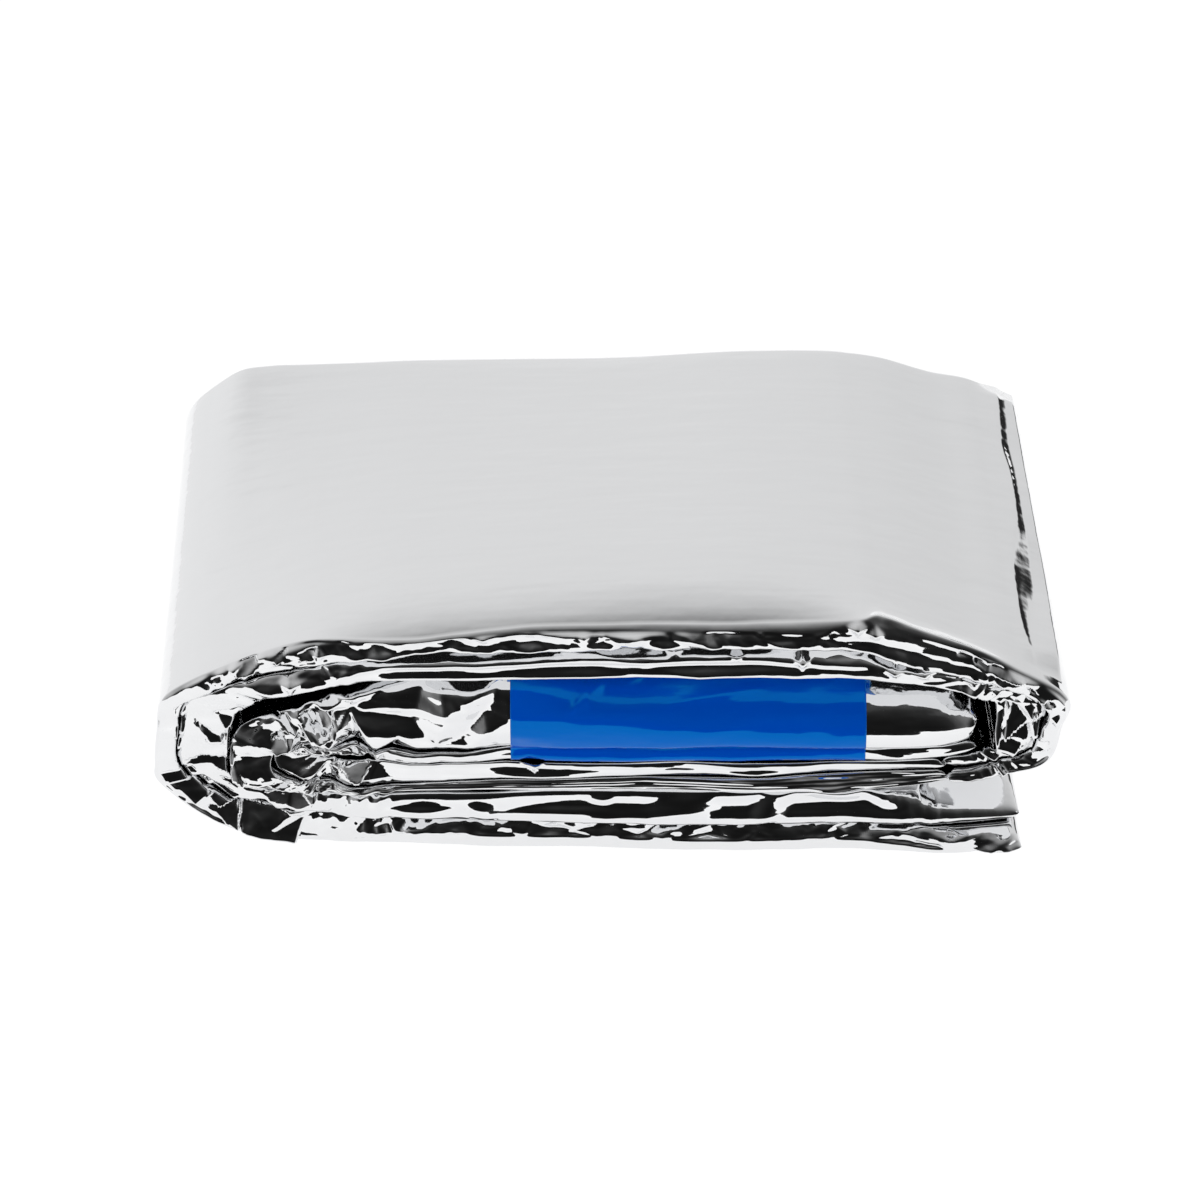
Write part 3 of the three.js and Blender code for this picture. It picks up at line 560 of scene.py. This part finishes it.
def roll_surface(path, face, nose_column, count, far_first, far_growth):
    """The closed skin of a roll: from its back along its free face, round its front and back by the seam."""
    seam, outside = path[:, SEAM], path[:, face]
    way = outside - seam
    thick = np.linalg.norm(way, axis=1)
    way = way / thick[:, None]
    low, high = np.full(len(path), SEAM_GAP), thick - FACE_INSET
    sag = path[:, SAG]
    fronts = [nose(a, b, row, w[1], count) for a, b, row, w in zip(low, high - sag, path, way)]
    level, depth, share = (np.array(part) for part in zip(*fronts))
    front = path[:, nose_column][:, None] + depth
    back_reach = np.minimum((high - low) / 2, BACK_ROUNDING)
    back_base = (path[:, BACK] - back_reach)[:, None]

    far = graded(RUN, far_first, far_growth, FACE_LONGEST)[None, :0:-1]
    close = graded(RUN, *SEAM_STEPS)[None, 1:]
    back_angle = np.linspace(0, math.pi, BACK_POINTS + 2)[None, 1:-1]
    middle, half = ((high + low) / 2)[:, None], ((high - low) / 2)[:, None]
    far_y = front[:, :1] + (back_base - front[:, :1]) * far
    reach = np.where(sag > 0, SAG_REACH, LIP_REACH)[:, None]
    y = np.hstack(
        [
            far_y,
            front,
            front[:, -1:] + (back_base - front[:, -1:]) * close,
            back_base + back_reach[:, None] * np.sin(back_angle),
        ]
    )
    level = np.hstack(
        [
            high[:, None] - sag[:, None] * np.exp(-(far_y - front[:, :1]) / reach),
            level,
            low[:, None] + 0 * close,
            middle - half * np.cos(back_angle),
        ]
    )
    behind = np.ones((len(path), close.shape[1] + BACK_POINTS))
    share = np.hstack([np.ones_like(far_y), share, -behind])
    points = np.stack([seam[:, :1] + way[:, :1] * level, y, seam[:, 1:] + way[:, 1:] * level], axis=-1)
    return points, share, slice(far.shape[1], far.shape[1] + count)


def crumple(points, share, s, path, front, seed):
    """Pushes the film of a roll's front forwards and back."""
    x, y, z = points[..., 0], points[..., 1], points[..., 2]

    def column(k):
        return path[:, k : k + 1]

    ends = points[:, front][:, [0, -1], 1]
    edge = np.where(share > 0, ends[:, :1], ends[:, 1:])
    behind = np.where(np.abs(share) >= 1, np.maximum(0, y - edge), 0)
    fade = np.exp(-behind / FADE_REACH) * np.clip((column(CALM) + CALM_SOFT / 2 - share) / CALM_SOFT, 0, 1)
    along = np.repeat(s[:, None], x.shape[1], axis=1)
    across = x / column(DRAWN)
    push = column(FOLDS) * relief(along, z, FOLD_CELLS, seed)
    push += column(BROAD) * relief(across, z, BROAD_CELLS, BROAD_SEED)
    push += column(FINE) * relief(across, z, FINE_CELLS, seed + len(FOLD_CELLS))
    push += creased(x, z, CREASES)
    push += pinched(x, z) + swollen(x, z) + faceted(x, z)
    moved = points.copy()
    moved[..., 1] += push * fade
    return moved


def tube_mesh(name, points):
    """A closed mesh of a grid that closes along its second axis, with a fan on each end."""
    rows, around = points.shape[:2]
    vertices = np.vstack([points.reshape(-1, 3), points[0].mean(axis=0), points[-1].mean(axis=0)]) * MM
    i, j = np.meshgrid(np.arange(rows - 1), np.arange(around), indexing="ij")
    nxt = (j + 1) % around
    quads = np.stack(
        [i * around + j, i * around + nxt, (i + 1) * around + nxt, (i + 1) * around + j], axis=-1
    ).reshape(-1, 4)
    k = np.arange(around)
    start = np.stack([k, np.full(around, rows * around), (k + 1) % around], axis=-1)
    base = (rows - 1) * around
    end = np.stack([base + k, base + (k + 1) % around, np.full(around, rows * around + 1)], axis=-1)
    return finish_mesh(name, vertices, quads.tolist() + start.tolist() + end.tolist())


def finish_mesh(name, vertices, faces):
    """A smooth piece whose faces point outwards."""
    mesh = bpy.data.meshes.new(name)
    mesh.from_pydata(vertices.tolist(), [], faces)
    mesh.validate()
    mesh.update()
    if signed_volume(mesh) < 0:
        mesh.flip_normals()
    mesh.polygons.foreach_set("use_smooth", [True] * len(mesh.polygons))
    piece = bpy.data.objects.new(name, mesh)
    bpy.context.scene.collection.objects.link(piece)
    return piece


def signed_volume(mesh):
    """Above 0 if the faces point outwards."""
    mesh.calc_loop_triangles()
    at = np.empty(len(mesh.vertices) * 3)
    mesh.vertices.foreach_get("co", at)
    at = at.reshape(-1, 3)
    tri = np.empty(len(mesh.loop_triangles) * 3, dtype=np.int64)
    mesh.loop_triangles.foreach_get("vertices", tri)
    a, b, c = (at[tri.reshape(-1, 3)[:, k]] for k in range(3))
    return float((a * np.cross(b, c)).sum() / 6)


def close_ends(points, s):
    """Rounds the free ends of a roll shut."""
    total = s[-1]
    nearest = np.minimum(s, total - s)
    share = np.clip(1 - nearest / END_LENGTH, 0, 1)
    keep = np.sqrt(1 - share**2) * (1 - END_HEIGHT) + END_HEIGHT
    middle_z = (points[..., 2].max(axis=1) + points[..., 2].min(axis=1)) / 2
    points[..., 2] = middle_z[:, None] + (points[..., 2] - middle_z[:, None]) * keep[:, None]
    return points


def make_roll(name, stretches, roll, seed, step, count, far_first, far_growth):
    """A roll's piece, the points of its front and its places along the winding."""
    face, nose_column = {"outer": (OUTER, OUTER_NOSE), "inner": (INNER, INNER_NOSE)}[roll]
    s, path = even_path(stretches, roll, face, step)
    path[:, nose_column] += sum(reach * wander(s, length, seed + more) for reach, length, more in WANDERS)
    points, share, front = roll_surface(path, face, nose_column, count, far_first, far_growth)
    points = crumple(points, share, s, path, front, seed)
    if roll == "outer" and stretches == OUTSIDE:
        points = shouldered(points, slice(0, front.start))
    points = close_ends(points, s)
    points = settle(points)
    return tube_mesh(name, points), points[:, front], s


# Materials. A ripple is its length, width and height.
FILM_COLOUR = (0.81, 0.815, 0.825)
FILM_ROUGHNESS = 0.05
FILM_RIPPLES = [(6.0, 6.0, 0.08), (1.6, 1.6, 0.016), (24.0, 4.5, 0.22)]
TAPE_COLOUR = (0.0, 0.072, 0.53)
TAPE_ROUGHNESS = 0.1
TAPE_GLOSS = 1.0
TAPE_GLOSS_COLOUR = (0.02, 0.8, 0.9, 1)
TAPE_RIPPLES = [(9.0, 9.0, 0.10), (14.0, 1.6, 0.03)]
RIPPLE_HEADING = math.radians(24)


def principled(name, base, metallic, roughness):
    """A material of one colour and its shader."""
    material = bpy.data.materials.new(name)
    material.use_nodes = True
    shader = material.node_tree.nodes["Principled BSDF"]
    shader.inputs["Base Color"].default_value = (*base, 1)
    shader.inputs["Metallic"].default_value = metallic
    shader.inputs["Roughness"].default_value = roughness
    return material, shader


def ripple(material, shader, ripples):
    """Lays soft ripples over a material's shader."""
    nodes, links = material.node_tree.nodes, material.node_tree.links
    coordinate = nodes.new("ShaderNodeTexCoord").outputs["Object"]
    normal = None
    for length, width, height in ripples:
        turn = nodes.new("ShaderNodeMapping")
        turn.inputs["Rotation"].default_value = (0, 0, -RIPPLE_HEADING)
        turn.inputs["Scale"].default_value = (1 / (length * MM), 1 / (width * MM), 1 / (width * MM))
        noise = nodes.new("ShaderNodeTexNoise")
        noise.inputs["Scale"].default_value = 1.0
        bump = nodes.new("ShaderNodeBump")
        bump.inputs["Distance"].default_value = height * MM
        links.new(coordinate, turn.inputs["Vector"])
        links.new(turn.outputs["Vector"], noise.inputs["Vector"])
        links.new(noise.outputs["Fac"], bump.inputs["Height"])
        if normal:
            links.new(normal, bump.inputs["Normal"])
        normal = bump.outputs["Normal"]
    links.new(normal, shader.inputs["Normal"])


def film_material():
    """Silvered film."""
    material, shader = principled("film", FILM_COLOUR, 1.0, FILM_ROUGHNESS)
    ripple(material, shader, FILM_RIPPLES)
    return material


def tape_material():
    """Glossy blue plastic."""
    material, shader = principled("tape", TAPE_COLOUR, 0.0, TAPE_ROUGHNESS)
    shader.inputs["Specular IOR Level"].default_value = TAPE_GLOSS
    shader.inputs["Specular Tint"].default_value = TAPE_GLOSS_COLOUR
    ripple(material, shader, TAPE_RIPPLES)
    return material


film, tape = film_material(), tape_material()

# The stretches that each roll runs through.
OUTSIDE = ["bottom_end", "bottom_east", "bottom_west", "left_turn", "top_left", "top_west", "top_middle"]
OUTSIDE += ["top_east", "top_step", "top_right", "right_turn"]
INSIDE = ["middle", "inner_turn", "inner_left", "inner_west", "inner_middle", "inner_right"]

# Each roll's name, stretches, side, seed, step along it, points round its front, and first step and growth of
# the steps behind that on its free face.
ROLLS = [
    ("outer_roll_outside", OUTSIDE, "outer", 11, 0.3, 26, 0.4, 1.3),
    ("inner_roll_outside", OUTSIDE, "inner", 23, 0.3, 30, 0.5, 1.35),
    ("outer_roll_inside", INSIDE, "outer", 37, 0.3, 44, 0.5, 1.35),
    ("inner_roll_inside", INSIDE, "inner", 53, 0.3, 22, 0.5, 1.35),
]


def dress(piece, material, replaced):
    """Hands a piece of sheet to the frame in place of its solid."""
    piece.data.materials.append(material)
    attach(piece, "root")
    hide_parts(replaced)


fronts = {}
for name, *settings in ROLLS:
    piece, fronts[name], s = make_roll(name, *settings)
    dress(piece, film, "folded_bag")

# The adhesive strip over the fronts of the two innermost rolls where they lie above a height. It leaves out a
# few points at the edges of each front.
STRIP_LEFT = -13.9
STRIP_WIDTH = 50.0
STRIP_CLEARANCE = 0.1
STRIP_FILM = 0.1
STRIP_STEP = 0.3
STRIP_POINTS = 80
STRIP_SMOOTHING = 3
STRIP_MARGINS = slice(3, -2)
STRIP_ABOVE = 15
FAR_AWAY = 1000


def strip_line(x):
    """The strip's height line at x over the fronts of both rolls, from its upper to its lower edge."""
    line = []
    for name, downward in (("outer_roll_inside", 1), ("inner_roll_inside", -1)):
        front = fronts[name]
        rows = np.abs(front[:, 0, 0] - x) + np.where(front[:, :, 2].max(axis=1) < STRIP_ABOVE, FAR_AWAY, 0)
        section = front[rows.argmin()][::downward]
        line.append(section[STRIP_MARGINS])
    line = np.vstack(line)[:, 1:]
    along = np.concatenate([[0], np.cumsum(np.linalg.norm(np.diff(line, axis=0), axis=1))])
    even = np.linspace(0, along[-1], STRIP_POINTS)
    return np.stack([np.interp(even, along, line[:, 0]), np.interp(even, along, line[:, 1])], axis=1)


def smoothed(values, passes):
    """Values averaged with their neighbours along both axes, the edges held."""
    for _ in range(passes):
        values[:, 1:-1] = (values[:, :-2] + 2 * values[:, 1:-1] + values[:, 2:]) / 4
        values[1:-1] = (values[:-2] + 2 * values[1:-1] + values[2:]) / 4
    return values


def make_strip():
    """The strip's piece and its height along the film."""
    stations = np.linspace(STRIP_LEFT, STRIP_LEFT + STRIP_WIDTH, int(STRIP_WIDTH / STRIP_STEP))
    film_line = np.array([strip_line(x) for x in stations])
    under = smoothed(film_line.copy(), STRIP_SMOOTHING)
    along = np.gradient(under, axis=1)
    outward = np.stack([along[..., 1], -along[..., 0]], axis=-1)
    outward /= np.linalg.norm(outward, axis=-1, keepdims=True)
    proud = np.maximum(0, ((film_line - under) * outward).sum(axis=-1, keepdims=True))
    inner_skin = under + outward * (proud + STRIP_CLEARANCE)
    outer_skin = inner_skin + outward * STRIP_FILM
    ring = np.concatenate([inner_skin, outer_skin[:, ::-1]], axis=1)
    x = np.repeat(stations[:, None], ring.shape[1], axis=1)
    points = np.stack([x, ring[..., 0], ring[..., 1]], axis=-1)
    height = np.linalg.norm(np.diff(under, axis=1), axis=-1).sum(axis=1).mean()
    return ring_mesh("adhesive_strip_skin", points), height


def ring_mesh(name, points):
    """A closed mesh of a thin ring swept along its first axis, with strips of faces across each end."""
    rows, around = points.shape[:2]
    half = around // 2
    index = np.arange(rows * around).reshape(rows, around)
    quads = np.stack(
        [index[:-1], np.roll(index, -1, 1)[:-1], np.roll(index, -1, 1)[1:], index[1:]], axis=-1
    ).reshape(-1, 4)
    ends = []
    for ring, turned in ((index[0], False), (index[-1], True)):
        for k in range(half - 1):
            face = [int(ring[k]), int(ring[around - 1 - k]), int(ring[around - 2 - k]), int(ring[k + 1])]
            ends.append(face[::-1] if turned else face)
    return finish_mesh(name, points.reshape(-1, 3) * MM, quads.tolist() + ends)


strip, strip_height = make_strip()
dress(strip, tape, "adhesive_strip")

# The floor.
FLOOR_REACH = 3.0
FLOOR_GREY = 0.4
FLOOR_ROUGHNESS = 0.9
FLOOR_GLOW = 0.82


def add_floor():
    """A light table."""
    floor_mesh = bpy.data.meshes.new("floor")
    r = FLOOR_REACH
    floor_mesh.from_pydata([(-r, -r, 0), (r, -r, 0), (r, r, 0), (-r, r, 0)], [], [(0, 1, 2, 3)])
    floor = bpy.data.objects.new("floor", floor_mesh)
    bpy.context.scene.collection.objects.link(floor)
    material, shader = principled("floor", (FLOOR_GREY, FLOOR_GREY, FLOOR_GREY), 0.0, FLOOR_ROUGHNESS)
    shader.inputs["Specular IOR Level"].default_value = 0.0
    shader.inputs["Emission Color"].default_value = (1, 1, 1, 1)
    shader.inputs["Emission Strength"].default_value = FLOOR_GLOW
    floor_mesh.materials.append(material)


# The studio's light, by the cosine to its darkest direction, and what share of it comes from which x.
STUDIO_TILT = math.radians(20)
STUDIO_STOPS = [
    (-1, 1.7), (-0.94, 1.4), (-0.86, 1.04), (-0.72, 1.0), (-0.56, 0.98), (-0.1, 0.76), (0.1, 0.62),
    (0.44, 0.3), (0.64, 0.1), (0.77, 0.035), (0.9, 0.018), (1, 0.01),
]
SIDE_STOPS = [(-1, 1.0), (-0.6, 0.95), (-0.2, 0.86), (0.5, 0.77), (0.8, 0.84), (1, 1.0)]

# A dark flag near the horizon, behind on the right, by the cosines to its middle.
FLAG_DIRECTION = (0.585, 0.81, 0.03)
FLAG_FROM = 0.975
FLAG_FULL = 0.996
FLAG_LIGHT = 0.03


def tone_ramp(nodes, links, value, stops):
    """Greys by a value between -1 and 1."""
    spread = nodes.new("ShaderNodeMapRange")
    spread.inputs["From Min"].default_value = -1
    ramp = nodes.new("ShaderNodeValToRGB")
    elements = ramp.color_ramp.elements
    while len(elements) < len(stops):
        elements.new(0.5)
    for element, (at, grey) in zip(elements, stops):
        element.position = (at + 1) / 2
        element.color = (grey, grey, grey, 1)
    links.new(value, spread.inputs["Value"])
    links.new(spread.outputs["Result"], ramp.inputs["Fac"])
    return ramp.outputs["Color"]


def towards(nodes, links, direction, way):
    """The cosine between a direction and a fixed way."""
    dot = nodes.new("ShaderNodeVectorMath")
    dot.operation = "DOT_PRODUCT"
    dot.inputs[1].default_value = way
    links.new(direction, dot.inputs[0])
    return dot.outputs["Value"]


def add_studio():
    """A dark studio around the camera, grey overhead and light behind."""
    world = bpy.data.worlds.new("studio")
    bpy.context.scene.world = world
    world.use_nodes = True
    nodes, links = world.node_tree.nodes, world.node_tree.links
    background = nodes["Background"]
    direction = nodes.new("ShaderNodeTexCoord").outputs["Generated"]
    darkest = (0, -math.cos(STUDIO_TILT), math.sin(STUDIO_TILT))
    tones = tone_ramp(nodes, links, towards(nodes, links, direction, darkest), STUDIO_STOPS)
    links.new(tones, background.inputs["Color"])
    aside = nodes.new("ShaderNodeSeparateXYZ")
    links.new(direction, aside.inputs["Vector"])
    sides = tone_ramp(nodes, links, aside.outputs["X"], SIDE_STOPS)
    shade = nodes.new("ShaderNodeMapRange")
    shade.interpolation_type = "SMOOTHSTEP"
    shade.inputs["From Min"].default_value = FLAG_FROM
    shade.inputs["From Max"].default_value = FLAG_FULL
    shade.inputs["To Min"].default_value = 1.0
    shade.inputs["To Max"].default_value = FLAG_LIGHT
    links.new(towards(nodes, links, direction, FLAG_DIRECTION), shade.inputs["Value"])
    both = nodes.new("ShaderNodeMath")
    both.operation = "MULTIPLY"
    links.new(shade.outputs["Result"], both.inputs[0])
    links.new(sides, both.inputs[1])
    links.new(both.outputs["Value"], background.inputs["Strength"])


# The front light, in metres.
FRONT_LIGHT_WATTS = 22.0
FRONT_LIGHT_SIZE = (2.4, 1.2)
FRONT_LIGHT_PLACE = (0, -1.6, 1.3)
FRONT_LIGHT_TILT = math.radians(51)


def add_front_light():
    """A wide soft light over the camera that the silvered film doesn't mirror."""
    light = bpy.data.lights.new("front_light", "AREA")
    light.shape = "RECTANGLE"
    light.size, light.size_y = FRONT_LIGHT_SIZE
    light.energy = FRONT_LIGHT_WATTS
    lamp = bpy.data.objects.new("front_light", light)
    bpy.context.scene.collection.objects.link(lamp)
    lamp.location = FRONT_LIGHT_PLACE
    lamp.rotation_euler = (FRONT_LIGHT_TILT, 0, 0)
    lamp.visible_glossy = False
    lamp.visible_camera = False


add_floor()
add_studio()
add_front_light()
bpy.context.scene.view_settings.view_transform = "Standard"
